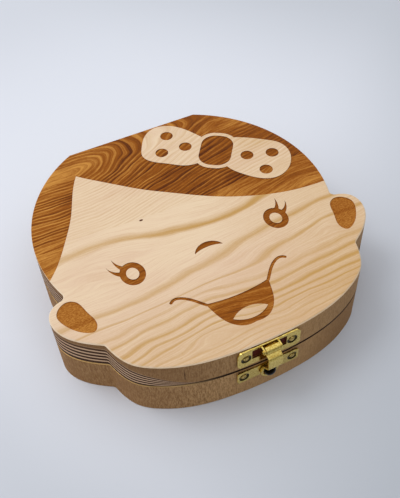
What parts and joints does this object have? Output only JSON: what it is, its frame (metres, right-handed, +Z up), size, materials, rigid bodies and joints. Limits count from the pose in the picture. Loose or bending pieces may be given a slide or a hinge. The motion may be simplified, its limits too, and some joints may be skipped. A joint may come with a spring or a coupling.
{
  "type": "baby tooth box",
  "caption": "Flat wooden keepsake box in the outline of a smiling child's head: base with tooth sockets and wells, hinged lid with a burnt drawing, brass ring-and-knob catch.",
  "frame": {"origin": "on the underside of the base, at the middle of the wooden outline (half the ear span, half the wooden depth)", "axes": "+Z up from the table to the drawing, -Y towards the chin and the catch, +Y towards the hinges, X across the ears"},
  "size_m": [0.1308, 0.1326, 0.0285],
  "materials": {
    "pine": "sanded, unvarnished",
    "brass": "brass plated, lightly polished",
    "nail_steel": "plain"
  },
  "bodies": {
    "base": {"base": "pine", "catch_plate": "brass", "catch_nails": "nail_steel", "left_hinge_base_leaf": "brass", "left_hinge_pin": "brass", "left_hinge_base_screws": "brass", "right_hinge_base_leaf": "brass", "right_hinge_pin": "brass", "right_hinge_base_screws": "brass"},
    "lid": {"lid": "pine", "latch_plate": "brass", "latch_pin": "brass", "latch_nails": "nail_steel", "left_hinge_lid_leaf": "brass", "left_hinge_lid_screws": "brass", "right_hinge_lid_leaf": "brass", "right_hinge_lid_screws": "brass"},
    "latch_flap": {"latch_flap": "brass"}
  },
  "joints": [
    {"name": "lid_hinge", "type": "hinge", "parent": "base", "child": "lid", "pos_m": [0, 0.06375, 0.016], "axis": [-1, 0, 0], "range_deg": [0, 180]},
    {"name": "latch_flap_swing", "type": "hinge", "parent": "lid", "child": "latch_flap", "pos_m": [0, -0.0643, 0.026], "axis": [-1, 0, 0], "range_deg": [0, 150]}
  ]
}
